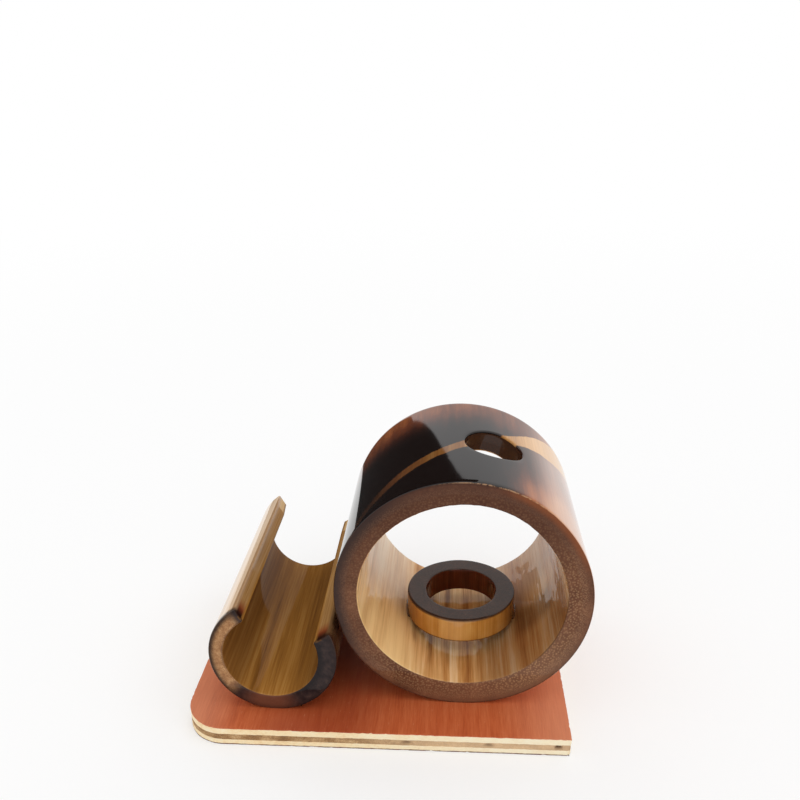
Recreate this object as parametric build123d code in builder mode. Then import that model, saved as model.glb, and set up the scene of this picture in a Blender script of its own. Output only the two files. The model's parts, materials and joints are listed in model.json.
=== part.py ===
from build123d import *
import os
from math import cos, radians, sin, sqrt

# Pen and phone holder: three cuts of bamboo culm glued together on a plywood base.
# +X runs along the front edge, +Y away from the user and +Z up.
# The origin is the middle of the base's underside.

os.makedirs("parts", exist_ok=True)

# Driving dimensions, lengths in millimetres and angles in degrees

# Plywood base of five plies, with its two left corners rounded
base_width = 101.0
base_depth = 76.0
base_corner_radius = 11.0
back_veneer = 0.3
lower_ply = 1.3
core_ply = 1.7
upper_ply = 1.7
face_veneer = 0.3

# Pen ring: a length of thick culm on its side, hanging over the base's right edge
ring_diameter = 66.0
ring_wall = 6.4
ring_length = 52.0
ring_setback = 12.1
ring_overhang = 5.0
ring_flat = 8.0
ring_edge_bevel = 0.5

# Pen hole: drilled towards the ring's axis through its upper wall, leaning to the right
hole_diameter = 15.8
hole_lean = 15.0
hole_setback = 24.8

# Phone trough: a slimmer culm beside the ring, its natural bore a little off centre
trough_diameter = 33.8
trough_bore = 24.8
trough_bore_shift = 0.6
trough_length = 63.5
trough_setback = 7.75
trough_gap = 1.7
trough_flat = 6.0
trough_edge_bevel = 0.6

# Saw cuts that open the trough: two planes that would meet below the culm's axis
slot_angle = 87.0
slot_lean = 15.0
slot_apex_drop = 2.0

# Pen cup: a thin slice of culm lying flat inside the ring, where a pen's tip stands
cup_diameter = 30.9
cup_bore = 20.0
cup_height = 6.9
cup_setback = 26.9
cup_edge_bevel = 0.4

# Glue: the line under the cup's edge and the beads squeezed out beside each joint
glue_gap = 0.1
bead_height = 1.1
bead_hollow = 0.15
bead_end_inset = 1.2
ring_bead_width = 4.3
trough_bead_width = 3.2
cup_bead_length = 9.0
cup_bead_thickness = 3.4
cup_bead_middle_share = 0.35

# How far a cutting shape runs past what it cuts
overrun = 5.0

# Sizes and places worked out from the values above

base_top = back_veneer + lower_ply + core_ply + upper_ply + face_veneer
base_front = -base_depth / 2
base_right = base_width / 2

ring_radius = ring_diameter / 2
ring_bore_radius = ring_radius - ring_wall
ring_x = base_right + ring_overhang - ring_radius
ring_z = base_top + sqrt(ring_radius**2 - (ring_flat / 2) ** 2)
ring_front = base_front + ring_setback
ring_back = ring_front + ring_length

trough_radius = trough_diameter / 2
trough_z = base_top + sqrt(trough_radius**2 - (trough_flat / 2) ** 2)
trough_x = ring_x - sqrt((ring_radius + trough_gap + trough_radius) ** 2 - (ring_z - trough_z) ** 2)
trough_front = base_front + trough_setback
trough_back = trough_front + trough_length

# The cup comes down until its lower bevel stands one glue line off the ring's bore
cup_radius = cup_diameter / 2
seat_radius = ring_bore_radius - glue_gap
bevel_inner_drop = sqrt(seat_radius**2 - (cup_radius - cup_edge_bevel) ** 2)
bevel_outer_drop = sqrt(seat_radius**2 - cup_radius**2)
cup_bottom = ring_z - min(bevel_inner_drop, bevel_outer_drop + cup_edge_bevel)
cup_y = ring_front + cup_setback


def end_plane(y):
    """Plane across a culm at y, which looks at the user, with X and Z as its own axes."""
    return Plane.XZ.offset(-y)


# Plies of the base, from the table up

plies = [
    ("base_back_veneer", back_veneer),
    ("base_lower_ply", lower_ply),
    ("base_core_ply", core_ply),
    ("base_upper_ply", upper_ply),
    ("base_face_veneer", face_veneer),
]
ply_bottom = 0
for ply_name, ply_thickness in plies:
    with BuildPart() as ply:
        with BuildSketch(Plane.XY.offset(ply_bottom)) as ply_outline:
            Rectangle(base_width, base_depth)
            left_corners = ply_outline.vertices().group_by(Axis.X)[0]
            fillet(left_corners, radius=base_corner_radius)
        extrude(amount=ply_thickness)
    ply.part.label = ply_name
    export_step(ply.part, f"parts/{ply_name}.step")
    ply_bottom += ply_thickness

# Pen ring: eased ends, a flat where it meets the base, and the radial pen hole

with BuildPart() as pen_ring:
    with BuildSketch(end_plane(ring_back)):
        with Locations((ring_x, ring_z)):
            Circle(ring_radius)
            Circle(ring_bore_radius, mode=Mode.SUBTRACT)
    extrude(amount=ring_length)
    chamfer(pen_ring.edges().filter_by(GeomType.CIRCLE), length=ring_edge_bevel)
    split(bisect_by=Plane.XY.offset(base_top), keep=Keep.TOP)
    hole_plane = Plane(
        origin=(ring_x, ring_front + hole_setback, ring_z),
        x_dir=(cos(radians(hole_lean)), 0, -sin(radians(hole_lean))),
        z_dir=(sin(radians(hole_lean)), 0, cos(radians(hole_lean))),
    )
    with BuildSketch(hole_plane):
        Circle(hole_diameter / 2)
    extrude(amount=ring_radius + overrun, mode=Mode.SUBTRACT)
pen_ring.part.label = "pen_ring"
export_step(pen_ring.part, "parts/pen_ring.step")

# Phone trough: off-centre bore, opened by the two saw cuts, every sawn edge eased

slot_middle = 90 - slot_lean
slot_reach = (trough_radius + slot_apex_drop + overrun) / cos(radians(slot_angle / 2))
with BuildPart() as phone_trough:
    with BuildSketch(end_plane(trough_back)):
        with Locations((trough_x, trough_z)):
            Circle(trough_radius)
        with Locations((trough_x - trough_bore_shift, trough_z)):
            Circle(trough_bore / 2, mode=Mode.SUBTRACT)
        with BuildLine():
            apex = (trough_x, trough_z - slot_apex_drop)
            left_cut = PolarLine(apex, slot_reach, slot_middle + slot_angle / 2)
            right_cut = PolarLine(apex, slot_reach, slot_middle - slot_angle / 2)
            Line(left_cut @ 1, right_cut @ 1)
        make_face(mode=Mode.SUBTRACT)
    extrude(amount=trough_length)
    chamfer(phone_trough.edges(), length=trough_edge_bevel)
    split(bisect_by=Plane.XY.offset(base_top), keep=Keep.TOP)
phone_trough.part.label = "phone_trough"
export_step(phone_trough.part, "parts/phone_trough.step")

# Pen cup

with BuildPart() as pen_cup:
    with BuildSketch(Plane.XY.offset(cup_bottom)):
        with Locations((ring_x, cup_y)):
            Circle(cup_radius)
            Circle(cup_bore / 2, mode=Mode.SUBTRACT)
    extrude(amount=cup_height)
    chamfer(pen_cup.edges().filter_by(GeomType.CIRCLE), length=cup_edge_bevel)
pen_cup.part.label = "pen_cup"
export_step(pen_cup.part, "parts/pen_cup.step")

# Glue beads along both sides of each culm's foot, hollowed as the glue wets base and culm

feet = [
    ("ring_glue", ring_x, ring_z, ring_radius, ring_flat,
     ring_bead_width, ring_back, ring_length),
    ("trough_glue", trough_x, trough_z, trough_radius, trough_flat,
     trough_bead_width, trough_back, trough_length),
]
for glue_name, foot_x, foot_z, foot_radius, foot_flat, bead_width, foot_back, foot_length in feet:
    crest_z = base_top + bead_height
    crest_reach = sqrt(foot_radius**2 - (foot_z - crest_z) ** 2)
    with BuildPart() as foot_glue:
        with BuildSketch(end_plane(foot_back - bead_end_inset)):
            for side in (-1, 1):
                with BuildLine():
                    toe = (foot_x + side * (foot_flat / 2 + bead_width), base_top)
                    crest = (foot_x + side * crest_reach, crest_z)
                    SagittaArc(toe, crest, side * bead_hollow)
                    Polyline(crest, (foot_x, foot_z), (foot_x, base_top), toe)
                make_face()
            with Locations((foot_x, foot_z)):
                Circle(foot_radius, mode=Mode.SUBTRACT)
        extrude(amount=foot_length - 2 * bead_end_inset)
    foot_glue.part.label = glue_name
    export_step(foot_glue.part, f"parts/{glue_name}.step")

# Glue beads between the cup's wall and the bore, tapered to both ends: one fitted, one mirrored

wall_drop = sqrt(ring_bore_radius**2 - cup_radius**2)
crevice = (ring_x + cup_radius, cup_y, ring_z - wall_drop)
bead_end = cup_bead_length / 2
bead_shoulder = bead_end * cup_bead_middle_share
with BuildPart() as cup_glue:
    with BuildSketch(Plane(origin=crevice, x_dir=(0, 1, 0))):
        with BuildLine():
            Polyline(
                (-bead_end, 0),
                (-bead_shoulder, cup_bead_thickness / 2),
                (bead_shoulder, cup_bead_thickness / 2),
                (bead_end, 0),
                close=True,
            )
        make_face()
    revolve(axis=Axis(crevice, (0, 1, 0)))
    with BuildSketch(end_plane(ring_back)):
        with Locations((ring_x, ring_z)):
            Circle(ring_bore_radius)
    extrude(amount=ring_length, mode=Mode.INTERSECT)
    add(pen_cup.part, mode=Mode.SUBTRACT)
    mirror(about=Plane.YZ.offset(ring_x))
cup_glue.part.label = "cup_glue"
export_step(cup_glue.part, "parts/cup_glue.step")
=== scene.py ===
import json
from math import asin, atan2, cos, degrees, hypot, pi, radians, sin, sqrt

import bmesh
import bpy
from mathutils import Matrix, Vector, noise


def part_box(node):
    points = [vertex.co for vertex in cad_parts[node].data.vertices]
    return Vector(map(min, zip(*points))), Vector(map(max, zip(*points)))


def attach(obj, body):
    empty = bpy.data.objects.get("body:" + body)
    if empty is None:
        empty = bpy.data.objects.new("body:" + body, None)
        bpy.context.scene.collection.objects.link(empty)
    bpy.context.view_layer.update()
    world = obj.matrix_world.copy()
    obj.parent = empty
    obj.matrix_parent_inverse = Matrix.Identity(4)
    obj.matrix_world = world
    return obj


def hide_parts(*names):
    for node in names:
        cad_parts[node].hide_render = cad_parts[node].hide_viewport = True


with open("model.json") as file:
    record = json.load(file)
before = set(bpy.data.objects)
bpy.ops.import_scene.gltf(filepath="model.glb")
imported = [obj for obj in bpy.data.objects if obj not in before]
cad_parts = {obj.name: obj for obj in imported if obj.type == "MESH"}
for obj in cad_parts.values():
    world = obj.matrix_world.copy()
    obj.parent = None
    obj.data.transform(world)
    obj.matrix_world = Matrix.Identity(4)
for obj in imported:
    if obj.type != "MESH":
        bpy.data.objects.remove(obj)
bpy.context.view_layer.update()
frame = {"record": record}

# Lengths are in millimetres and angles in degrees unless a comment says otherwise.
MM = 0.001


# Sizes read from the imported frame

def node_box(name):
    """Lowest and highest corner of a CAD node."""
    low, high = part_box(name)
    return low / MM, high / MM


ring_low, ring_high = node_box("pen_ring")
ring_radius = (ring_high.x - ring_low.x) / 2
ring_x = (ring_low.x + ring_high.x) / 2
ring_z = ring_high.z - ring_radius
ring_front = ring_low.y
ring_length = ring_high.y - ring_low.y

pen_hole = next(mount for mount in frame["record"]["mounts"] if mount["name"] == "pen_hole")
hole_radius = pen_hole["dims"]["r_mm"]
hole_middle = Vector(pen_hole["pos_m"]) / MM
hole_lean = atan2(pen_hole["axis"][0], pen_hole["axis"][2])
# The mount lies half-way through the ring's wall
ring_bore = 2 * hypot(hole_middle.x - ring_x, hole_middle.z - ring_z) - ring_radius

base_high = node_box("base_face_veneer")[1]
base_top = base_high.z
base_half_width = base_high.x
base_half_depth = base_high.y

trough_low, trough_high = node_box("phone_trough")
trough_radius = (trough_high.x - trough_low.x) / 2
trough_x = (trough_low.x + trough_high.x) / 2
trough_front = trough_low.y
trough_length = trough_high.y - trough_low.y

cup_low, cup_high = node_box("pen_cup")
cup_radius = (cup_high.x - cup_low.x) / 2
cup_centre = (cup_low + cup_high) / 2
cup_height = cup_high.z - cup_low.z

# Sizes that the frame doesn't give
ring_edge_round = 0.5
ring_bore_round = 0.35
hole_round = 0.45
# How far the ring's natural bore lies off its axis, across and up
ring_bore_shift = (-0.3, 0.45)
# Where the ring departs from round: the middle angle, the half angle, and how far skin and bore stand out
ring_swells = [(-33.0, 70.0, 0.0, -0.5), (112.0, 66.0, 0.5, 0.7)]
trough_bore = 12.4
trough_bore_shift = 0.6
trough_flat = 6.0
trough_edge_round = 0.45
# How far the pared facet at the back of the lips reaches
trough_facet = 7.5
slot_middle = 75.0
slot_half = 43.5
slot_apex_drop = 2.0
cup_bore = 10.0
cup_edge_round = 0.32
base_corner_round = 11.0
trough_z = base_top + sqrt(trough_radius**2 - (trough_flat / 2) ** 2)


# Node trees written as expressions

class Value:
    """A number that varies over a surface. Arithmetic on it adds Math nodes to its graph."""

    def __init__(self, graph, socket):
        self.graph = graph
        self.socket = socket

    def math(self, operation, *numbers):
        return self.graph.value("ShaderNodeMath", {"operation": operation}, dict(enumerate(numbers)))

    def __add__(self, other):
        return self.math("ADD", self, other)

    def __sub__(self, other):
        return self.math("SUBTRACT", self, other)

    def __rsub__(self, other):
        return self.math("SUBTRACT", other, self)

    def __mul__(self, other):
        return self.math("MULTIPLY", self, other)

    def __truediv__(self, other):
        return self.math("DIVIDE", self, other)

    def __pow__(self, other):
        return self.math("POWER", self, other)

    def __abs__(self):
        return self.math("ABSOLUTE", self)

    __radd__ = __add__
    __rmul__ = __mul__

    def least(self, other):
        return self.math("MINIMUM", self, other)

    def most(self, other):
        return self.math("MAXIMUM", self, other)

    def angle_from(self, other):
        """Angle of the point (other, self) round the origin, in degrees."""
        return self.math("ARCTAN2", self, other) * (180 / pi)

    def rise(self, low, high):
        """0 below low, 1 above high and smooth between them."""
        sockets = {"Value": self, "From Min": low, "From Max": high}
        return self.graph.value("ShaderNodeMapRange", {"interpolation_type": "SMOOTHSTEP"}, sockets)

    def fall(self, low, high):
        return 1 - self.rise(low, high)

    def band(self, middle, half_width, soft):
        """1 within half_width of the middle, falling to 0 over soft."""
        return abs(self - middle).fall(half_width, half_width + soft)


class Graph:
    """A shader or geometry node tree that is being written."""

    def __init__(self, tree):
        self.tree = tree

    def node(self, kind, settings=None, sockets=None):
        """Adds a node, sets it up and fills its input sockets with numbers, values or links."""
        node = self.tree.nodes.new(kind)
        for name, setting in (settings or {}).items():
            if name == "stops":
                self.set_stops(node.color_ramp.elements, setting)
            else:
                setattr(node, name, setting)
        for key, content in (sockets or {}).items():
            if isinstance(content, Value):
                content = content.socket
            if isinstance(content, bpy.types.NodeSocket):
                self.tree.links.new(content, node.inputs[key])
            else:
                node.inputs[key].default_value = content
        return node

    @staticmethod
    def set_stops(elements, stops):
        while len(elements) < len(stops):
            elements.new(1)
        for element, (position, levels) in zip(elements, stops):
            element.position = position
            element.color = tone(*levels)

    def output(self, kind, settings=None, sockets=None):
        """First output of a new node."""
        return self.node(kind, settings, sockets).outputs[0]

    def value(self, kind, settings=None, sockets=None):
        return Value(self, self.output(kind, settings, sockets))

    def place(self, centre=(0, 0, 0)):
        """Where a point of the piece lies from the centre, in millimetres."""
        here = self.node("ShaderNodeTexCoord").outputs["Object"]
        sockets = {0: here, 1: (1 / MM,) * 3, 2: tuple(-c for c in centre)}
        return self.output("ShaderNodeVectorMath", {"operation": "MULTIPLY_ADD"}, sockets)

    def parts(self, vector):
        node = self.node("ShaderNodeSeparateXYZ", sockets={0: vector})
        return [Value(self, socket) for socket in node.outputs]

    def mark(self, name):
        """Number that the mesh carries for each of its points."""
        return Value(self, self.node("ShaderNodeAttribute", {"attribute_name": name}).outputs["Fac"])

    def flat(self, across, up):
        """Place in a section, from two values."""
        return self.output("ShaderNodeCombineXYZ", None, {0: across, 1: up})

    def stretch(self, vector, shares):
        return self.output("ShaderNodeVectorMath", {"operation": "MULTIPLY"}, {0: vector, 1: shares})

    def noise(self, vector, width, detail=2.0, roughness=0.5, seed=0.0):
        """Cloudy pattern from 0 to 1, whose patches are about as wide as width."""
        sockets = {"Vector": vector, "Scale": 1 / width, "Detail": detail, "Roughness": roughness}
        if seed:
            sockets["W"] = seed
        return self.value("ShaderNodeTexNoise", {"noise_dimensions": "4D" if seed else "3D"}, sockets)

    def spots(self, vector, width):
        """Distance from the nearest of many scattered spots that lie about a width apart, in widths."""
        settings = {"voronoi_dimensions": "2D"}
        return self.value("ShaderNodeTexVoronoi", settings, {"Vector": vector, "Scale": 1 / width})

    def ramp(self, amount, *stops):
        """Colour that follows an amount from 0 to 1 through stops, each a position and its tone."""
        return self.output("ShaderNodeValToRGB", {"stops": stops}, {0: amount})

    def mix(self, amount, first, second):
        """The first colour where amount is 0 and the second where it is 1."""
        sockets = {0: amount, 6: first, 7: second}
        return self.node("ShaderNodeMix", {"data_type": "RGBA"}, sockets).outputs[2]

    def wash(self, colour, *washes):
        """The colour with other tones laid over it in turn, each given as its amount and its tone."""
        for amount, levels in washes:
            colour = self.mix(amount, colour, tone(*levels))
        return colour

    def shade(self, colour, amount):
        """The colour made darker where amount is below 1."""
        grey = self.output("ShaderNodeCombineColor", None, {0: amount, 1: amount, 2: amount})
        settings = {"data_type": "RGBA", "blend_type": "MULTIPLY"}
        return self.node("ShaderNodeMix", settings, {0: 1.0, 6: colour, 7: grey}).outputs[2]

    def relief(self, height):
        """Surface normal for a fine relief whose height is in millimetres."""
        return self.output("ShaderNodeBump", None, {"Height": height, "Distance": MM})


def tone(red, green, blue):
    """A colour given as it looks, from 0 to 255, as the linear colour that a shader takes."""
    linear = []
    for level in (red / 255, green / 255, blue / 255):
        linear.append(level / 12.92 if level <= 0.04045 else ((level + 0.055) / 1.055) ** 2.4)
    return (*linear, 1.0)


def empty_material(name):
    """A material without nodes, and the graph to write them in."""
    material = bpy.data.materials.new(name)
    material.use_nodes = True
    material.node_tree.nodes.clear()
    return material, Graph(material.node_tree)


def finish(name, surface, **constants):
    """A material whose varying sockets come from surface(graph) and whose other sockets are constants."""
    material, graph = empty_material(name)
    shader = graph.output("ShaderNodeBsdfPrincipled", None, {**constants, **surface(graph)})
    graph.node("ShaderNodeOutputMaterial", None, {"Surface": shader})
    return material


# Bamboo

# How much a pattern is drawn out along the fibres
FIBRE_SHARE = 0.03
# Number of the coordinate that runs along a culm
LYING, STANDING = 1, 2


class CulmPlace:
    """Where a point lies in a culm: its angle, depths and grain and, from 0 to 1, on which surface it is."""

    def __init__(self, graph, centre, axis, length, skin_radius, bore_radius, bore_shift=(0, 0), swells=(),
                 hair_width=0.45, streak_width=2.0, bundle_width=0.56):
        end_soft, side_soft = 0.12, 0.2
        cut_from, cut_to = 0.4, 0.6
        edge_from, edge_to = 0.05, 0.3
        close_width = 0.4
        self.graph = graph
        self.place = graph.place(centre)
        coordinates = graph.parts(self.place)
        self.along = coordinates.pop(axis)
        self.across, up = coordinates
        self.angle = self.across.angle_from(up)
        for middle, half, skin_out, bore_out in swells:
            share = 1 - (abs(self.angle - middle) / half).least(1) ** 2
            skin_radius = share * share * skin_out + skin_radius
            bore_radius = share * share * bore_out + bore_radius
        bore_across = self.across - bore_shift[0]
        bore_up = up - bore_shift[1]
        self.skin_depth = skin_radius - (self.across * self.across + up * up) ** 0.5
        self.bore_depth = (bore_across * bore_across + bore_up * bore_up) ** 0.5 - bore_radius
        side_depth = self.skin_depth.least(self.bore_depth)
        end_depth = self.along.least(length - self.along)
        self.end = (side_depth - end_depth).rise(-end_soft, end_soft)
        self.skin = (self.bore_depth - self.skin_depth).rise(-side_soft, side_soft)
        # Well inside every surface of the plain culm, so on the wall of a hole through it
        self.cut = side_depth.least(end_depth).rise(cut_from, cut_to)
        self.edge = self.skin_depth.fall(edge_from, edge_to) * end_depth.fall(edge_from, edge_to)

        shares = [1, 1, 1]
        shares[axis] = FIBRE_SHARE
        self.fibre = graph.stretch(self.place, shares)
        self.hair = graph.noise(self.fibre, hair_width, 3)
        self.streak = graph.noise(self.fibre, streak_width, 4, 0.6)

        # Ends of the fibre bundles: small and close under the skin, larger near the bore
        section = graph.flat(self.across, up)
        close = graph.spots(section, close_width).fall(0.16, 0.5)
        wide = graph.spots(section, bundle_width).fall(0.14, 0.46)
        inner = (self.skin_depth / (skin_radius - bore_radius)).rise(0.25, 0.7)
        self.bundles = close * (1 - inner) + wide * inner

    def relief(self, on_end, streak_height):
        """Surface normal: fibres along the sides, bundles and saw marks on the ends."""
        side = self.hair * 0.02 + self.streak * streak_height
        end = self.bundles * 0.03 + self.graph.noise(self.place, 0.35, 2) * 0.03
        return self.graph.relief(side * (1 - on_end) + end * on_end)


def ring_bamboo(graph):
    """Scorched culm with a diagonal stripe left bare, a pale bore and brown sawn ends."""
    stripe_start = 22.4
    stripe_climb = 0.372
    culm = CulmPlace(
        graph, (ring_x, ring_front, ring_z), LYING, ring_length, ring_radius, ring_bore, ring_bore_shift,
        ring_swells, hair_width=0.5, streak_width=3.2, bundle_width=0.72,
    )
    place, angle, along, hair, streak = culm.place, culm.angle, culm.along, culm.hair, culm.streak
    cloud = graph.noise(graph.stretch(place, (1, 0.16, 1)), 9, 5, 0.66)
    grit = graph.noise(place, 0.9, 2)

    # Skin: toasted brown at its sides and ends, nearly black on top; painted sheen pales its right side
    # Paler to the right: partly toasted skin, partly painted sheen towards the right edge
    toasted_and_sheen_right = angle.rise(6, 56) * (0.62 + along.fall(6, 30) * 0.32) + angle.rise(52, 86) * 0.34
    toasted_left = angle.fall(-118, -88) * 0.78
    toasted_back = along.rise(ring_length - 26, ring_length - 2) * (0.64 - angle.rise(4, 40) * 0.48)
    toasted_front = along.fall(2, 18) * angle.band(50, 16, 26) * 0.28
    scorch = 1.1 - toasted_and_sheen_right - toasted_left - toasted_back - toasted_front
    scorch = scorch + (cloud - 0.5) * 0.6 + (streak - 0.5) * 0.3
    burnt = graph.ramp(
        scorch, (0.10, (210, 142, 88)), (0.30, (166, 98, 56)), (0.52, (106, 56, 34)),
        (0.72, (58, 30, 21)), (0.88, (31, 18, 14)), (1.00, (21, 12, 10)),
    )
    # Painted sheen: a pale pinkish band along the right side
    painted_sheen_right = angle.band(56, 6, 20) * (0.5 - along.rise(30, 48) * 0.3)
    burnt = graph.wash(burnt, (painted_sheen_right, (216, 186, 170)))
    bare = graph.ramp(
        streak * 0.6 + hair * 0.4, (0.30, (140, 86, 28)), (0.50, (172, 114, 44)), (0.72, (204, 152, 80)),
    )
    bare = graph.wash(
        bare,
        (angle.fall(-34, 30) * 0.92, (80, 45, 28)),
        (angle.fall(-46, -26) * 0.8, (32, 20, 15)),
        (angle.rise(14, 44) * 0.8, (240, 194, 142)),
    )
    stripe_middle = stripe_start + angle * stripe_climb + angle.rise(20, 40) * 1.4
    stripe_swell = angle.rise(-10, 40) * 1.1 + angle.rise(22, 54) * angle.fall(80, 140) * 3.6
    stripe_wander = graph.noise(place, 3.0, 3) - 0.5
    stripe = (abs(along - stripe_middle + stripe_wander) - stripe_swell).fall(1.55, 2.35)
    skin_colour = graph.shade(graph.mix(stripe, burnt, bare), hair * 0.3 + 0.85)

    # Lining of the bore: painted shade at the lower right, painted light at the left, dark marks on the floor
    lining = graph.ramp(
        streak * 0.45 + graph.noise(culm.fibre, 7, 2) * 0.3 + hair * 0.25,
        (0.37, (150, 92, 46)), (0.45, (198, 142, 82)), (0.53, (228, 180, 120)), (0.61, (246, 214, 168)),
    )
    lit_left = angle.band(-116, 20, 28) * along.fall(8, 40)
    painted_reflection_left = angle.band(-112, 20, 20) * along.rise(18, 38)
    marks = angle.band(-150, 0.4, 3.4) + angle.band(-172, 0.3, 2.6) + angle.band(-161, 0.3, 2.0)
    mottle = graph.noise(graph.stretch(place, (1, 0.3, 1)), 5, 3)
    lining = graph.wash(
        lining,
        # Painted shade on the right and its front rim, and a painted grey reflection at the back right
        (angle.band(130, 28, 22) * along.fall(6, 52) * 0.6, (106, 64, 36)),
        (angle.band(96, 16, 14) * along.fall(12, 30) * 0.3, (96, 62, 40)),
        (angle.band(128, 10, 12) * along.band(19, 2, 6) * 0.45, (60, 36, 24)),
        (angle.band(122, 24, 24) * along.rise(22, 38) * 0.6, (172, 154, 146)),
        (angle.band(80, 40, 30) * along.fall(0.2, 0.7) * 0.8, (88, 58, 42)),
        # Painted light at the front left and a painted reflection further back on the left
        (lit_left * (0.6 + streak.rise(0.38, 0.62) * 0.4), (255, 220, 158)),
        (painted_reflection_left * (0.6 + streak.rise(0.4, 0.6) * 0.35), (250, 236, 212)),
        (marks * mottle.rise(0.36, 0.66) * along.rise(2, 14) * 0.7, (104, 56, 30)),
    )

    # Sawn ends: dark on top and under the skin, with pale bundles towards the foot
    sawn = graph.ramp(
        graph.noise(place, 6, 3) * 0.55 + grit * 0.45,
        (0.30, (86, 53, 37)), (0.52, (111, 72, 51)), (0.75, (134, 92, 66)),
    )
    bundle_share = 0.1 + abs(angle).rise(104, 150) * 0.24 + angle.band(112, 26, 40) * 0.24
    bundle_share = bundle_share * culm.skin_depth.rise(0.8, 2.6) * (0.4 + grit)
    lit_rim = angle.band(46, 16, 18) * culm.skin_depth.fall(0.4, 2.4)
    sawn = graph.wash(
        sawn,
        (angle.band(0, 42, 40) * 0.62, (69, 37, 25)),
        (angle.band(-74, 26, 34) * culm.skin_depth.fall(0.6, 4.5) * 0.86, (48, 35, 32)),
        (angle.band(138, 10, 32) * 0.36, (142, 106, 82)),
        (abs(angle).rise(146, 176) * 0.34, (146, 100, 74)),
        (culm.bundles * bundle_share, (188, 146, 104)),
        (culm.skin_depth.fall(0.1, 0.9) * 0.55, (54, 31, 23)),
        (lit_rim * 0.75, (138, 76, 40)),
    )

    drilled = graph.shade(tone(68, 44, 31), hair * 0.6 + 0.7)
    colour = graph.mix(culm.skin, lining, skin_colour)
    colour = graph.mix(culm.cut, colour, drilled)
    colour = graph.mix(culm.end, colour, sawn)
    # Painted highlight along the upper right of the rounded outer edge of the ends, broken up by grit
    painted_rim_highlight = culm.edge * angle.band(28, 26, 20) * grit.rise(0.35, 0.6)
    return {
        "Base Color": graph.wash(colour, (painted_rim_highlight * 0.7, (196, 152, 112))),
        "Roughness": 0.36 + culm.end * 0.16 + (hair - 0.5) * 0.12,
        "Coat Weight": (0.7 + culm.skin * 0.3) * (1 - culm.end * 0.55 - culm.cut * 0.3),
        "Normal": culm.relief(culm.end, 0.05),
    }


def trough_bamboo(graph):
    """Natural culm, pale outside and golden inside, with sawn lips and ends that were partly scorched."""
    culm = CulmPlace(
        graph, (trough_x, trough_front, trough_z), LYING, trough_length, trough_radius, trough_bore,
        (-trough_bore_shift, 0), streak_width=2.4,
    )
    place, angle, along, hair, streak = culm.place, culm.angle, culm.along, culm.hair, culm.streak
    cloud = graph.noise(graph.stretch(place, (1, 0.5, 1)), 9, 3, 0.6)

    outside = graph.ramp(
        streak * 0.6 + hair * 0.4, (0.28, (172, 118, 62)), (0.50, (206, 158, 98)), (0.72, (228, 190, 136)),
    )
    pale_side = angle.band(-42, 16, 26) * (0.6 + streak.rise(0.36, 0.62) * 0.36)
    scorched_side = angle.rise(20, 74) * angle.fall(140, 176)
    outside = graph.wash(
        outside,
        (pale_side, (246, 220, 192)),
        (angle.band(-31, 3.2, 2.2) * 0.85, (152, 110, 66)),
        (along.fall(0.3, 2.2) * 0.9, (38, 22, 17)),
        (scorched_side * (0.6 + cloud * 0.5), (58, 31, 20)),
    )

    inside = graph.ramp(
        streak * 0.66 + hair * 0.34, (0.28, (112, 70, 28)), (0.50, (164, 112, 50)), (0.74, (200, 150, 82)),
    )
    # Painted shadow: the inside darker at the right, towards the back and under the left lip
    inside = graph.wash(
        inside,
        (angle.rise(50, 100) * angle.fall(110, 178) * 0.6, (70, 41, 21)),
        (along.rise(20, 60) * 0.45, (92, 58, 28)),
        (angle.band(-90, 34, 30) * 0.5, (92, 56, 30)),
    )

    lip = graph.ramp(
        streak * 0.5 + hair * 0.5, (0.30, (138, 96, 50)), (0.52, (166, 124, 76)), (0.74, (190, 150, 104)),
    )
    facet_soft = 0.25
    facet_start = trough_length - trough_facet
    pared = along.rise(facet_start - facet_soft, facet_start + facet_soft)
    # Painted highlight on the pared facet at the back of the lips; scorch at their front
    lip = graph.wash(
        lip,
        (pared * 0.6, (232, 198, 148)),
        (along.fall(2.5, 7.5), (128, 62, 34)),
        (along.fall(0.8, 4.2), (40, 20, 15)),
    )

    # Sawn ends: pale at the left, scorched at the right and the foot
    pale = graph.ramp(
        graph.noise(place, 1.4, 3), (0.30, (152, 106, 68)), (0.55, (182, 136, 92)), (0.75, (204, 162, 116)),
    )
    pale = graph.wash(pale, (culm.bundles * 0.45, (126, 84, 54)))
    dark = graph.ramp(
        graph.noise(place, 1.6, 3), (0.30, (36, 28, 29)), (0.60, (58, 45, 43)), (0.80, (80, 62, 54)),
    )
    foot = angle.fall(-166, -136) + angle.rise(150, 178)
    dark = graph.wash(dark, (foot * 0.8, (120, 72, 52)))
    scorched_end = (angle.rise(-46, -33) + angle.fall(-142, -122)).least(1)
    sawn = graph.wash(
        graph.mix(scorched_end, pale, dark),
        (culm.bore_depth.fall(0.2, 0.8) * angle.band(-68, 28, 18) * 0.55, (70, 44, 30)),
        (culm.bore_depth.fall(0.6, 2.8) * angle.band(104, 36, 24) * 0.7, (24, 21, 24)),
        (culm.skin_depth.fall(0.4, 1.9) * (1 - scorched_end * 0.6) * 0.92, (34, 20, 17)),
    )

    on_lip = graph.mark("lip")
    on_end = culm.end * (1 - on_lip)
    colour = graph.mix(culm.skin, inside, outside)
    colour = graph.mix(on_end, colour, sawn)
    return {
        "Base Color": graph.mix(on_lip, colour, lip),
        "Roughness": 0.38 + on_end * 0.14 + (hair - 0.5) * 0.12,
        "Coat Weight": (0.3 + culm.skin * 0.7) * (1 - on_end) * (1 - on_lip * 0.75) + on_end * 0.4,
        "Normal": culm.relief(on_end, 0.04),
    }


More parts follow.
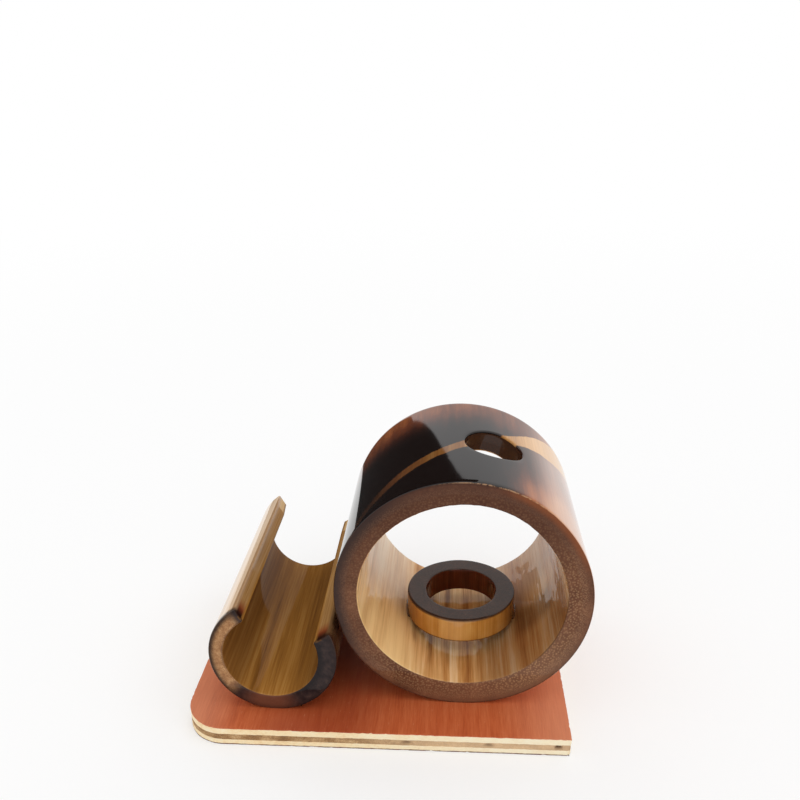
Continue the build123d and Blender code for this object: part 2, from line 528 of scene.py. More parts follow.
def cup_bamboo(graph):
    """Slice of culm with an orange skin, scorched rims and a dark top and bore."""
    centre = (cup_centre.x, cup_centre.y, cup_low.z)
    culm = CulmPlace(graph, centre, STANDING, cup_height, cup_radius, cup_bore)
    place, along, hair, streak = culm.place, culm.along, culm.hair, culm.streak
    cloud = graph.noise(place, 5, 3)

    outside = graph.ramp(
        streak * 0.5 + hair * 0.25 + cloud * 0.25,
        (0.28, (150, 88, 30)), (0.48, (188, 128, 56)), (0.70, (212, 160, 90)),
    )
    rim = along.least(cup_height - along).fall(0.15, 0.7)
    sides = abs(culm.across).rise(10.8, 16.4)
    # Painted highlight on the front; rims scorched, sides scorched and darkened by painted shade at the bore
    outside = graph.wash(
        outside,
        (culm.across.band(-2.4, 1.4, 3.4) * 0.32, (236, 186, 120)),
        ((rim * 0.75).most(sides * (0.4 + cloud * 0.5)), (48, 24, 16)),
    )
    inside = graph.ramp(
        streak * 0.6 + hair * 0.4, (0.30, (58, 24, 15)), (0.52, (92, 42, 24)), (0.74, (130, 68, 38)),
    )
    sawn = graph.ramp(
        cloud * 0.6 + graph.noise(place, 0.8, 3) * 0.4,
        (0.30, (50, 34, 26)), (0.55, (64, 44, 32)), (0.78, (82, 58, 44)),
    )
    sawn = graph.wash(sawn, (culm.bundles * 0.12, (112, 84, 66)))

    colour = graph.mix(culm.skin, inside, outside)
    side_relief = hair * 0.02 + streak * 0.04
    return {
        "Base Color": graph.mix(culm.end, colour, sawn),
        "Roughness": 0.36 + (hair - 0.5) * 0.12,
        "Coat Weight": 1 - culm.cut * 0.3 - culm.end * 0.2,
        "Normal": graph.relief(side_relief * (1 - culm.end) + culm.bundles * culm.end * 0.01),
    }


# Plywood and glue

def face_veneer(graph):
    """Reddish veneer with fine grain that runs from front to back, under thin varnish."""
    place = graph.place()
    across = graph.parts(place)[0]
    grain = graph.stretch(place, (1, 0.06, 1))
    hair = graph.noise(grain, 0.35, 3, 0.6)
    streak = graph.noise(grain, 2.2, 4, 0.6)
    cloud = graph.noise(place, 22, 3)
    fleck = graph.noise(graph.stretch(place, (1, 0.16, 1)), 0.28, 1).rise(0.66, 0.8)
    colour = graph.ramp(
        hair * 0.35 + streak * 0.4 + cloud * 0.25,
        (0.30, (162, 68, 33)), (0.46, (193, 93, 50)), (0.60, (207, 111, 66)), (0.80, (216, 136, 94)),
    )
    # Darker and redder near x = -15, paler towards both ends
    paler_ends = across.fall(-48, -34) * 0.4 + across.rise(30, 50) * 0.42
    colour = graph.wash(
        colour,
        (across.band(-15, 7, 14) * 0.5, (146, 54, 26)),
        (paler_ends, (228, 160, 124)),
        (fleck * 0.3, (218, 150, 112)),
    )
    return {
        "Base Color": colour,
        "Roughness": 0.46 + (hair - 0.5) * 0.2,
        "Normal": graph.relief(hair * 0.03 + streak * 0.02),
    }


def pale_ply(graph):
    """Cream ply, sawn: thin fibres along the edge."""
    place = graph.place()
    across = graph.parts(place)[0]
    hair = graph.noise(graph.stretch(place, (0.25, 0.25, 1)), 0.22, 3, 0.6)
    cloud = graph.noise(graph.stretch(place, (1, 1, 2)), 4, 3)
    colour = graph.ramp(
        hair * 0.55 + cloud * 0.45, (0.28, (238, 198, 144)), (0.48, (255, 230, 184)), (0.70, (255, 244, 214)),
    )
    return {
        # Painted light: the edge lighter towards the right
        "Base Color": graph.wash(colour, (across.rise(-20, 40) * 0.5, (255, 250, 226))),
        "Roughness": 0.72 + (hair - 0.5) * 0.1,
        "Normal": graph.relief(hair * 0.06),
    }


def core_ply(graph):
    """Brown core with its fibres end on at the front, mottled, with painted shade in its voids."""
    place = graph.place()
    across = graph.parts(place)[0]
    grit = graph.noise(place, 0.3, 3, 0.65)
    patch = graph.noise(graph.stretch(place, (1, 1, 2)), 6, 4, 0.65)
    colour = graph.ramp(
        grit * 0.35 + patch * 0.65,
        (0.34, (116, 78, 42)), (0.47, (158, 118, 74)), (0.58, (196, 158, 112)), (0.70, (232, 202, 158)),
    )
    colour = graph.wash(
        colour,
        # Painted light towards the right, and painted shade in the voids
        (across.rise(-14, 22) * 0.55, (240, 206, 166)),
        (graph.mark("void") * 0.85, (74, 46, 23)),
    )
    return {
        "Base Color": colour,
        "Roughness": 0.8 + (grit - 0.5) * 0.1,
        "Normal": graph.relief(grit * 0.1),
    }


def back_veneer(graph):
    """Thin dark veneer underneath."""
    grain = graph.noise(graph.stretch(graph.place(), (1, 0.06, 1)), 0.8, 3, 0.6)
    colour = graph.ramp(grain, (0.30, (78, 44, 28)), (0.55, (116, 70, 44)), (0.80, (146, 94, 62)))
    return {"Base Color": colour, "Roughness": 0.7 + (grain - 0.5) * 0.1}


def amber_glue(graph):
    """Squeezed-out glue, dark amber with cloudy patches."""
    cloud = graph.noise(graph.place(), 1.6, 3)
    colour = graph.ramp(cloud, (0.30, (58, 33, 14)), (0.55, (96, 58, 25)), (0.80, (140, 92, 46)))
    return {"Base Color": colour, "Roughness": 0.16 + cloud * 0.12}


# Finish of each material slot: what varies over its surface, and its constants
VARNISH = {"Coat Roughness": 0.05, "Coat IOR": 1.42, "Specular IOR Level": 0.0}
surfaces = {
    "ring_bamboo": (ring_bamboo, VARNISH),
    "trough_bamboo": (trough_bamboo, VARNISH),
    "cup_bamboo": (cup_bamboo, VARNISH),
    "face_veneer": (face_veneer, {"Specular IOR Level": 0.3}),
    "pale_ply": (pale_ply, {}),
    "core_ply": (core_ply, {}),
    "back_veneer": (back_veneer, {}),
    "glue": (amber_glue, {"Coat Weight": 0.6, "Coat Roughness": 0.08}),
}
finishes = {slot: finish(slot, surface, **constants) for slot, (surface, constants) in surfaces.items()}


# Putting pieces together

def add_piece(name, mesh, node, slot):
    """Adds a finished mesh as the piece that stands for a CAD node."""
    mesh.materials.clear()
    mesh.materials.append(finishes[slot])
    piece = bpy.data.objects.new(name, mesh)
    bpy.context.scene.collection.objects.link(piece)
    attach(piece, "root")
    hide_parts(node)


def joined(name, meshes, crease=40.0):
    """One mesh from several, with doubles welded, faces outward, and smooth up to the crease angle."""
    weld = 0.002
    shell = bmesh.new()
    for mesh in meshes:
        shell.from_mesh(mesh)
    bmesh.ops.remove_doubles(shell, verts=shell.verts, dist=weld * MM)
    bmesh.ops.recalc_face_normals(shell, faces=shell.faces)
    result = bpy.data.meshes.new(name)
    shell.to_mesh(result)
    shell.free()
    result.shade_smooth()
    result.set_sharp_from_angle(angle=radians(crease))
    return result


def closed_mesh(name, points, faces, crease=40.0, marks=None):
    """Mesh in metres from points in millimetres. marks gives named numbers for every point."""
    mesh = bpy.data.meshes.new(name + "_draft")
    mesh.from_pydata([Vector(point) * MM for point in points], [], faces)
    for mark, numbers in (marks or {}).items():
        mesh.attributes.new(mark, "FLOAT", "POINT").data.foreach_set("value", numbers)
    return joined(name, [mesh], crease)


def steps(start, end, count):
    """count + 1 numbers from start to end."""
    return [start + (end - start) * i / count for i in range(count + 1)]


def bridged(loops):
    """Quads between closed loops that follow each other and have as many points."""
    quads = []
    for first, second in zip(loops, loops[1:]):
        for k in range(len(first)):
            after = (k + 1) % len(first)
            quads.append((first[k], first[after], second[after], second[k]))
    return quads


# Pen ring

def ring_swell(theta, bore_share):
    """How far the ring stands out beside its round form, in millimetres; bore_share is 0 on the skin."""
    out_by = 0
    for middle, half, skin_out, bore_out in ring_swells:
        off_middle = min(1, abs(degrees(theta) - middle) / half)
        out_by += (skin_out + (bore_out - skin_out) * bore_share) * (1 - off_middle**2) ** 2
    return out_by


def ring_mesh():
    """Annular culm with rounded ends and a radial hole, whose rim is woven into the grid of the wall."""
    turns = 450
    rows = 42
    arc_steps = 5
    wall_steps = 6
    block_half_turn = 30
    block_half_length = 11.0
    patch_steps = 6
    ripple_width, ripple_length, ripple_height = 1.2, 4.0, 0.085
    # Waves round the skin as (height, waves in a turn, phase, change of phase for each millimetre along)
    skin_waves = [(0.10, 2, 1.1, 0.0), (0.06, 3, 0.4, 0.03), (0.05, 5, 0.0, -0.06)]

    def skin_wobble(theta, along):
        """How far the culm departs from round, in millimetres."""
        out_by = 0
        for height, count, phase, drift in skin_waves:
            out_by += height * sin(count * theta + phase + drift * along)
        return out_by

    def ripple(theta, along):
        """How far the fibres of the lining stand in or out, in millimetres."""
        across = Vector((sin(theta), 0, cos(theta))) * (ring_bore / ripple_width)
        return ripple_height * noise.noise(across + Vector((0, along / ripple_length, 0)))

    def corner(radius, along, round_, start):
        """Quarter circle in the section round a middle given as (radius, along)."""
        quarter = steps(start, start + pi / 2, arc_steps)
        return [(radius + round_ * cos(turn), along + round_ * sin(turn)) for turn in quarter]

    # Section of the wall as (radius, along), from the skin's front edge round to it again
    skin_rows = steps(ring_edge_round, ring_length - ring_edge_round, rows)
    bore_rows = steps(ring_length - ring_bore_round, ring_bore_round, rows)
    face_rows = steps(ring_radius - ring_edge_round, ring_bore + ring_bore_round, wall_steps)
    section = [(ring_radius, along) for along in skin_rows]
    section += corner(face_rows[0], skin_rows[-1], ring_edge_round, 0)[1:]
    section += [(radius, ring_length) for radius in face_rows[1:]]
    section += corner(face_rows[-1], bore_rows[0], ring_bore_round, pi / 2)[1:-1]
    bore_start = len(section)
    section += [(ring_bore, along) for along in bore_rows]
    section += corner(face_rows[-1], bore_rows[-1], ring_bore_round, pi)[1:]
    section += [(radius, 0) for radius in reversed(face_rows[:-1])]
    section += corner(face_rows[0], skin_rows[0], ring_edge_round, 1.5 * pi)[1:-1]

    # Grid of the whole wall in the hole's frame: u across, along, height up the hole's axis
    section_count = len(section)
    grid = []
    for column in range(turns):
        theta = 2 * pi * column / turns
        grid += [(radius * sin(theta), along, radius * cos(theta)) for radius, along in section]

    def index(column, row):
        return (column % turns) * section_count + row % section_count

    hole_along = hole_middle.y - ring_front
    block_rows = [row for row in range(rows + 1) if abs(skin_rows[row] - hole_along) < block_half_length]
    first_row, last_row = block_rows[0], block_rows[-1]

    def in_block(column, row):
        turned = (column + block_half_turn) % turns
        return turned < 2 * block_half_turn and first_row <= row < last_row

    faces = []
    for column in range(turns):
        for row in range(section_count):
            if in_block(column, row) or in_block(column, bore_start + rows - 1 - row):
                continue
            faces.append((
                index(column, row), index(column + 1, row),
                index(column + 1, row + 1), index(column, row + 1),
            ))

    # Loops that run from the block's border on the skin, over the rim, down the wall to the bore
    border = [(column, first_row) for column in range(-block_half_turn, block_half_turn)]
    border += [(block_half_turn, row) for row in range(first_row, last_row)]
    border += [(column, last_row) for column in range(block_half_turn, -block_half_turn, -1)]
    border += [(-block_half_turn, row) for row in range(last_row, first_row, -1)]
    skin_loop = [index(column, row) for column, row in border]
    bore_loop = [index(column, bore_start + rows - row) for column, row in border]

    def loops_to_hole(loop, radius, side):
        """Loops from the block's border over the hole's rim; side is 1 on the skin and -1 in the bore."""
        rim = hole_radius + hole_round
        stages = [(share, rim, 0) for share in steps(0, 1, patch_steps)[1:]]
        for turn in steps(0, pi / 2, arc_steps)[1:]:
            stages.append((1, rim - hole_round * sin(turn), hole_round * (1 - cos(turn))))
        made = []
        for share, reach, drop in stages:
            ring = []
            for u, along, _ in (grid[i] for i in loop):
                drawn_in = 1 + (reach / hypot(u, along - hole_along) - 1) * share
                u, v = u * drawn_in, (along - hole_along) * drawn_in
                ring.append((u, v + hole_along, sqrt(radius**2 - u**2) - side * drop))
            made.append(ring)
        return made

    outer = loops_to_hole(skin_loop, ring_radius, 1)
    inner = loops_to_hole(bore_loop, ring_bore, -1)
    wall = []
    for share in steps(0, 1, wall_steps)[1:-1]:
        wall.append([
            tuple(a + (b - a) * share for a, b in zip(top, foot))
            for top, foot in zip(outer[-1], inner[-1])
        ])
    indices = [skin_loop]
    for loop in outer + wall + inner[::-1]:
        indices.append(list(range(len(grid), len(grid) + len(loop))))
        grid += loop
    indices.append(bore_loop)
    faces += bridged(indices)

    points = []
    for u, along, height in grid:
        radius = hypot(u, height)
        theta = atan2(u, height) + hole_lean
        bore_share = min(1, max(0, (ring_radius - radius) / (ring_radius - ring_bore)))
        lining_share = max(0, 1 - (1 - bore_share) * (ring_radius - ring_bore) / ring_bore_round)
        radius += skin_wobble(theta, along) + ring_swell(theta, bore_share)
        radius += ripple(theta, along) * lining_share
        x = ring_x + radius * sin(theta) + ring_bore_shift[0] * bore_share
        z = ring_z + radius * cos(theta) + ring_bore_shift[1] * bore_share
        points.append((x, ring_front + along, max(z, base_top)))
    return closed_mesh("pen_ring_culm", points, faces)


# Phone trough

def trough_mesh():
    """Culm with an off-centre bore, opened by two saw cuts and rounded along every edge."""
    arc_count = 130
    corner_count = 12
    lip_count = 4
    lip_shares = steps(0, 1, lip_count)[1:-1]
    facet_steps, body_steps = 4, 20
    left_facet, right_facet = 1.0, 0.3
    crease = 14.0
    axis = Vector((trough_x, trough_z))
    bore_axis = Vector((trough_x - trough_bore_shift, trough_z))
    apex = Vector((trough_x, trough_z - slot_apex_drop))

    def bearing(direction):
        return Vector((cos(direction), sin(direction)))

    def meet(start, direction, centre, reach):
        """Point where a line leaves a circle."""
        gap = start - centre
        along = gap.dot(direction)
        return start + direction * (-along + sqrt(along**2 - gap.dot(gap) + reach**2))

    def arc(centre, radius, start, end, count):
        return [centre + bearing(turn) * radius for turn in steps(start, end, count)]

    def direction_of(vector):
        return atan2(vector.y, vector.x)

    def section(inset, left_drop, right_drop):
        """Outer and inner chains of the wall from the left lip round to the right one.

        inset draws the whole section in, and the drops lower the two lips."""
        round_ = trough_edge_round
        corners = []
        for side, drop in ((1, left_drop), (-1, right_drop)):
            direction = bearing(radians(slot_middle + side * slot_half))
            inward = Vector((-direction.y, direction.x)) * side
            line = apex + inward * (drop + round_)
            outer = meet(line, direction, axis, trough_radius - round_)
            inner = meet(line, direction, bore_axis, trough_bore + round_)
            corners.append((inward, outer, inner))
        (left_in, left_outer, left_inner), (right_in, right_outer, right_inner) = corners
        small = round_ - inset

        left_lip = direction_of(-left_in)
        left_skin = direction_of(left_outer - axis)
        right_skin = direction_of(right_outer - axis)
        right_lip = direction_of(-right_in)
        left_bore = direction_of(bore_axis - left_inner)
        right_bore = direction_of(bore_axis - right_inner)

        def turned(start, end):
            """end, moved by a whole turn so that it follows start counter-clockwise."""
            while end < start:
                end += 2 * pi
            return end

        outer = arc(left_outer, small, left_lip, turned(left_lip, left_skin), corner_count)
        outer += arc(axis, trough_radius - inset, left_skin, turned(left_skin, right_skin), arc_count)[1:-1]
        outer += arc(right_outer, small, right_skin, turned(right_skin, right_lip), corner_count)
        inner = arc(left_inner, small, turned(left_bore, left_lip), left_bore, corner_count)
        bore_start = direction_of(left_inner - bore_axis)
        bore_end = turned(bore_start, direction_of(right_inner - bore_axis))
        inner += arc(bore_axis, trough_bore + inset, bore_start, bore_end, arc_count)[1:-1]
        inner += arc(right_inner, small, turned(right_lip, right_bore), right_lip, corner_count)
        return outer, inner

    # Stations along the culm: rounded ends, one where the facet starts, even steps between
    stations = []
    for turn in steps(0, pi / 2, corner_count):
        stations.append((trough_edge_round * (1 - cos(turn)), trough_edge_round * (1 - sin(turn))))
    stations += [(along, 0) for along in steps(trough_edge_round, trough_facet, facet_steps)[1:]]
    stations += [(along, 0) for along in steps(trough_facet, trough_length / 2, body_steps)[1:]]
    stations += [(trough_length - along, inset) for along, inset in reversed(stations[:-1])]

    points = []
    loops = []
    on_lip = []
    for along, inset in stations:
        to_back = trough_length - along
        pared = max(0, 1 - to_back / trough_facet)
        outer, inner = section(inset, left_facet * pared, right_facet * pared)
        loop = list(outer)
        loop += [outer[-1].lerp(inner[-1], share) for share in lip_shares]
        loop += inner[::-1]
        loop += [inner[0].lerp(outer[0], share) for share in lip_shares]
        loops.append(list(range(len(points), len(points) + len(loop))))
        points += [(p.x, trough_front + along, max(p.y, base_top)) for p in loop]
        lip = [1 - inset / trough_edge_round] * len(lip_shares)
        on_lip += [0] * len(outer) + lip + [0] * len(inner) + lip

    faces = bridged(loops)

    # Ends: rows of quads across the wall, from the outer chain to the inner one
    chain = len(outer)
    for loop in (loops[0], loops[-1]):
        outer_row = loop[:chain]
        right_lip = loop[chain:chain + lip_count - 1]
        inner_row = loop[chain + lip_count - 1:2 * chain + lip_count - 1][::-1]
        left_lip = loop[2 * chain + lip_count - 1:][::-1]
        rows = [outer_row]
        for step, share in enumerate(lip_shares):
            row = [left_lip[step]]
            for k in range(1, chain - 1):
                a, b = Vector(points[outer_row[k]]), Vector(points[inner_row[k]])
                row.append(len(points))
                points.append(tuple(a.lerp(b, share)))
                on_lip.append(0)
            row.append(right_lip[step])
            rows.append(row)
        rows.append(inner_row)
        for first, second in zip(rows, rows[1:]):
            for k in range(chain - 1):
                faces.append((first[k], first[k + 1], second[k + 1], second[k]))
    return closed_mesh("phone_trough_culm", points, faces, crease, {"lip": on_lip})


# Plywood base

def base_outline(spacing):
    """Points round the base as (x, y, outward x, outward y), counter-clockwise from the front left."""
    outline = []

    def run(start, end):
        gap = Vector(end) - Vector(start)
        outward = Vector((gap.y, -gap.x)).normalized()
        count = max(2, round(gap.length / spacing))
        for share in steps(0, 1, count)[:-1]:
            point = Vector(start) + gap * share
            outline.append((point.x, point.y, outward.x, outward.y))

    def turn(centre, start, end):
        count = max(2, round(abs(end - start) * base_corner_round / spacing))
        for angle in steps(start, end, count)[:-1]:
            outward = (cos(angle), sin(angle))
            outline.append((
                centre[0] + outward[0] * base_corner_round,
                centre[1] + outward[1] * base_corner_round,
                *outward,
            ))

    width, depth, corner = base_half_width, base_half_depth, base_corner_round
    run((-width + corner, -depth), (width, -depth))
    run((width, -depth), (width, depth))
    run((width, depth), (-width + corner, depth))
    turn((-width + corner, depth - corner), pi / 2, pi)
    run((-width, depth - corner), (-width, -depth + corner))
    turn((-width + corner, -depth + corner), pi, 1.5 * pi)
    return outline


EDGE_SPACING = 0.55
outline = base_outline(EDGE_SPACING)
# Voids in the front of the core as (x, half length, depth)
core_voids = [(8.5, 1.7, 0.5), (29.6, 1.5, 0.5), (47.2, 1.0, 1.2)]


def ragged(x, y, seed, width):
    """Smooth random number from about -1 to 1 that changes over the given width."""
    return noise.noise(Vector((x / width, y / width, seed)))


def ply_mesh(name, seed, bottom, top, roughness, chips, voids=()):
    """One ply: flat faces and a sawn edge that is a little rough, chipped or holed."""
    edge_rows = 5
    rough_base, rough_swing = 0.6, 0.5
    fibre_width, wave_width, chip_width = 0.9, 6, 1.3
    row_seed, wave_seed, chip_seed = 3, 20, 40
    chip_from = 0.2
    front_facing = -0.9
    void_shade_strength = 1.4
    border_jitter, border_width = 0.09, 1.1
    level_error = 0.01
    worn_corner = 0.5
    face_inset = 2.5
    inner_depth = base_half_depth - face_inset
    points = []
    void_shades = []
    loops = []
    for share in steps(0, 1, edge_rows):
        loop = []
        for x, y, out_x, out_y in outline:
            fibres = ragged(x, y, seed + row_seed * share, fibre_width)
            waves = ragged(x, y, seed + wave_seed, wave_width)
            in_by = roughness * (rough_base + rough_swing * (fibres + waves))
            in_by += chips * max(0, ragged(x, y, seed + chip_seed, chip_width) - chip_from)
            hollow = 0
            at_front = out_y < front_facing
            for middle, half, depth in voids:
                if at_front and abs(x - middle) < half:
                    reach = cos((x - middle) / half * pi / 2) * sin(share * pi) ** 2
                    hollow = max(hollow, reach * min(1, depth))
                    in_by += depth * reach
            z = bottom + (top - bottom) * share
            to_corner = hypot(x - base_half_width, y + base_half_depth)
            in_by += worn_corner * max(0, 1 - to_corner / (2 * worn_corner)) * (1 - z / base_top)
            # A border between plies takes its seed from its height, so both plies have the same one
            if share in (0, 1) and 0 < z < base_top - level_error:
                z += border_jitter * ragged(x, y, 100 * round(z, 2), border_width)
            loop.append(len(points))
            points.append((x - out_x * in_by, y - out_y * in_by, z))
            # Painted shade in the voids, darkest at the middle of the deeper ones
            void_shades.append(min(1, hollow * void_shade_strength))
        loops.append(loop)
    faces = bridged(loops)
    for loop, z in ((loops[0], bottom), (loops[-1], top)):
        inner = []
        for x, y, out_x, out_y in outline:
            inner.append(len(points))
            inner_y = max(-inner_depth, min(inner_depth, y - out_y * face_inset))
            points.append((min(x - out_x * face_inset, base_half_width - face_inset), inner_y, z))
            void_shades.append(0)
        faces += bridged([loop, inner])
        faces.append(inner)
    return closed_mesh(name, points, faces, marks={"void": void_shades})


def add_base():
    seed_gap = 7.3
    # Plies from the bottom up: node, slot, roughness of the sawn edge, depth of its chips, voids
    plies = [
        ("base_back_veneer", "back_veneer", 0.10, 0.5, ()),
        ("base_lower_ply", "pale_ply", 0.06, 0.0, ()),
        ("base_core_ply", "core_ply", 0.14, 0.2, core_voids),
        ("base_upper_ply", "pale_ply", 0.06, 0.0, ()),
        ("base_face_veneer", "face_veneer", 0.08, 0.7, ()),
    ]
    for seed, (node, slot, roughness, chips, voids) in enumerate(plies):
        low, high = node_box(node)
        mesh = ply_mesh(node + "_sheet", seed * seed_gap, low.z, high.z, roughness, chips, voids)
        add_piece(node + "_sheet", mesh, node, slot)


# Pen cup

def geometry_tree(name, **labels):
    """Geometry tree whose inputs are listed by kind, its graph and its inputs by name."""
    tree = bpy.data.node_groups.new(name, "GeometryNodeTree")
    tree.interface.new_socket("Geometry", in_out="INPUT", socket_type="NodeSocketGeometry")
    for kind, names in labels.items():
        for label in names:
            tree.interface.new_socket(label, in_out="INPUT", socket_type="NodeSocket" + kind)
    tree.interface.new_socket("Geometry", in_out="OUTPUT", socket_type="NodeSocketGeometry")
    graph = Graph(tree)
    return tree, graph, {socket.name: Value(graph, socket) for socket in graph.node("NodeGroupInput").outputs}


def end_tree(graph, geometry, material):
    """Last nodes of a geometry tree: real geometry in its material."""
    real = graph.output("GeometryNodeRealizeInstances", None, {0: geometry})
    painted = graph.output("GeometryNodeSetMaterial", None, {"Geometry": real, "Material": material})
    graph.node("NodeGroupOutput", None, {0: painted})


def grown(name, tree, contents):
    """Plain mesh that a geometry tree grows from its named inputs."""
    holder = bpy.data.objects.new(name + "_holder", bpy.data.meshes.new(name + "_seed"))
    bpy.context.scene.collection.objects.link(holder)
    modifier = holder.modifiers.new(name, "NODES")
    modifier.node_group = tree
    for socket in tree.interface.items_tree:
        if socket.name in contents:
            modifier[socket.identifier] = contents[socket.name]
    shaped = holder.evaluated_get(bpy.context.evaluated_depsgraph_get())
    result = bpy.data.meshes.new_from_object(shaped)
    holder.modifiers.remove(modifier)
    bpy.data.objects.remove(holder)
    result.name = name
    return result


def slice_tree():
    """Culm slice turned on a lathe: a rounded section swept round a circle, a little out of round."""
    turns = 160
    corner_points = 4
    section_cuts = 7
    bump_width = 7 * MM
    tree, graph, given = geometry_tree(
        "culm slice",
        Float=("Skin radius", "Bore radius", "Height", "Edge round", "Unevenness", "Seed"),
        Vector=("Centre",),
        Material=("Material",),
    )
    skin, bore = given["Skin radius"], given["Bore radius"]
    sockets = {"Resolution": turns, "Radius": (skin + bore) / 2}
    circle = graph.output("GeometryNodeCurvePrimitiveCircle", None, sockets)
    level = graph.output("GeometryNodeSetCurveNormal", {"mode": "Z_UP"}, {"Curve": circle})
    sockets = {"Width": skin - bore, "Height": given["Height"]}
    section = graph.output("GeometryNodeCurvePrimitiveQuadrilateral", None, sockets)
    sockets = {"Curve": section, "Count": corner_points, "Radius": given["Edge round"]}
    rounded = graph.output("GeometryNodeFilletCurve", {"mode": "POLY"}, sockets)
    fine = graph.output("GeometryNodeSubdivideCurve", None, {"Curve": rounded, "Cuts": section_cuts})
    swept = graph.output("GeometryNodeCurveToMesh", None, {"Curve": level, "Profile Curve": fine})
    place = graph.output("GeometryNodeInputPosition")
    outwards = graph.stretch(place, (1, 1, 0))
    outwards = graph.output("ShaderNodeVectorMath", {"operation": "NORMALIZE"}, {0: outwards})
    bumps = (graph.noise(place, bump_width, 1, seed=given["Seed"]) - 0.5) * given["Unevenness"]
    push = graph.output("ShaderNodeVectorMath", {"operation": "SCALE"}, {0: outwards, "Scale": bumps})
    bent = graph.output("GeometryNodeSetPosition", None, {"Geometry": swept, "Offset": push})
    moved = graph.output("GeometryNodeTransform", None, {"Geometry": bent, "Translation": given["Centre"]})
    smooth = graph.output("GeometryNodeSetShadeSmooth", None, {0: moved})
    end_tree(graph, smooth, given["Material"])
    return tree


def cup_mesh():
    return grown("pen_cup_slice", slice_tree(), {
        "Skin radius": cup_radius * MM,
        "Bore radius": cup_bore * MM,
        "Height": cup_height * MM,
        "Edge round": cup_edge_round * MM,
        "Unevenness": 0.35 * MM,
        "Seed": 2.0,
        "Centre": cup_centre * MM,
        "Material": finishes["cup_bamboo"],
    })


# Glue

def bead_tree():
    """Bead of glue along a path: a wedge with a hollow face that swells unevenly and tapers to both ends."""
    path_steps = 64
    thinnest = 0.02
    hollow = 0.16
    swell_width = 5 * MM
    tree, graph, given = geometry_tree(
        "glue bead",
        Vector=("Start", "Bend", "End", "Toe", "Crest"),
        Float=("Taper", "Unevenness", "Seed"),
        Material=("Material",),
    )
    route = {"Resolution": path_steps, "Start": given["Start"], "Middle": given["Bend"], "End": given["End"]}
    line = graph.output("GeometryNodeCurveQuadraticBezier", None, route)
    share = Value(graph, graph.node("GeometryNodeSplineParameter").outputs["Factor"])
    ends = (share.least(1 - share) / given["Taper"]).least(1).most(thinnest) ** 0.5
    lumps = graph.noise(graph.output("GeometryNodeInputPosition"), swell_width, 1, seed=given["Seed"])
    swell = ends * (1 + (lumps - 0.5) * given["Unevenness"])
    sized = graph.output("GeometryNodeSetCurveRadius", None, {"Curve": line, "Radius": swell})
    level = graph.output("GeometryNodeSetCurveNormal", {"mode": "Z_UP"}, {"Curve": sized})

    # A swept section hangs upside down, so its points are given with their height turned over
    toe = graph.stretch(given["Toe"], (1, -1, 1))
    crest = graph.stretch(given["Crest"], (1, -1, 1))
    middle = graph.output("ShaderNodeVectorMath", {"operation": "ADD"}, {0: toe, 1: crest})
    middle = graph.stretch(middle, ((1 - hollow) / 2,) * 3)
    corners = {"Point 1": toe, "Point 2": middle, "Point 3": crest, "Point 4": (0, 0, 0)}
    section = graph.output("GeometryNodeCurvePrimitiveQuadrilateral", {"mode": "POINTS"}, corners)
    sockets = {"Curve": level, "Profile Curve": section, "Fill Caps": True}
    swept = graph.output("GeometryNodeCurveToMesh", None, sockets)
    end_tree(graph, swept, given["Material"])
    return tree


glue_tree = bead_tree()


def bead(name, route, toe, crest, taper, uneven, seed):
    """One bead along the route, whose section reaches out to the toe and up to the crest."""
    start, bend, end = route
    return grown(name, glue_tree, {
        "Start": start * MM,
        "Bend": bend * MM,
        "End": end * MM,
        "Toe": Vector((*toe, 0)) * MM,
        "Crest": Vector((*crest, 0)) * MM,
        "Taper": taper,
        "Unevenness": uneven,
        "Seed": seed,
        "Material": finishes["glue"],
    })


def foot_beads(name, node, culm_x, culm_z, radius):
    """Beads along both sides of a culm's foot."""
    taper, uneven = 0.08, 0.9
    low, high = node_box(node)
    foot_half = sqrt(radius**2 - (culm_z - base_top) ** 2)
    toe = ((high.x - low.x) / 2 - foot_half, 0)
    crest = (sqrt(radius**2 - (culm_z - high.z) ** 2) - foot_half, high.z - base_top)
    beads = []
    for side, start_y, end_y in ((1, low.y, high.y), (-1, high.y, low.y)):
        start = Vector((culm_x + side * foot_half, start_y, base_top))
        end = Vector((culm_x + side * foot_half, end_y, base_top))
        beads.append(bead(name, (start, (start + end) / 2, end), toe, crest, taper, uneven, side))
    return joined(name, beads)


def cup_beads(name):
    """Beads in the two crevices between the cup's wall and the ring's bore."""
    taper, uneven = 0.5, 0.5
    leg = 0.75
    crest = (0, 1.25 * leg)
    sunk = 0.12
    low, high = node_box("cup_glue")
    half_length = (high.y - low.y) / 2

    def crevice(side, along):
        reach = sqrt(cup_radius**2 - along**2) - sunk
        bore = ring_bore + ring_swell(side * (pi - asin(reach / ring_bore)), 1)
        drop = sqrt(bore**2 - (side * reach - ring_bore_shift[0]) ** 2)
        bore_floor = ring_z + ring_bore_shift[1] - drop
        return Vector((ring_x + side * reach, cup_centre.y + along, bore_floor - sunk))

    beads = []
    for side in (1, -1):
        start, middle, end = [crevice(side, side * share * half_length) for share in (-1, 0, 1)]
        climb = cup_radius / sqrt(ring_bore**2 - cup_radius**2)
        toe = (leg, leg * climb)
        route = (start, 2 * middle - (start + end) / 2, end)
        beads.append(bead(name, route, toe, crest, taper, uneven, side))
    return joined(name, beads)


# Camera, light and floor

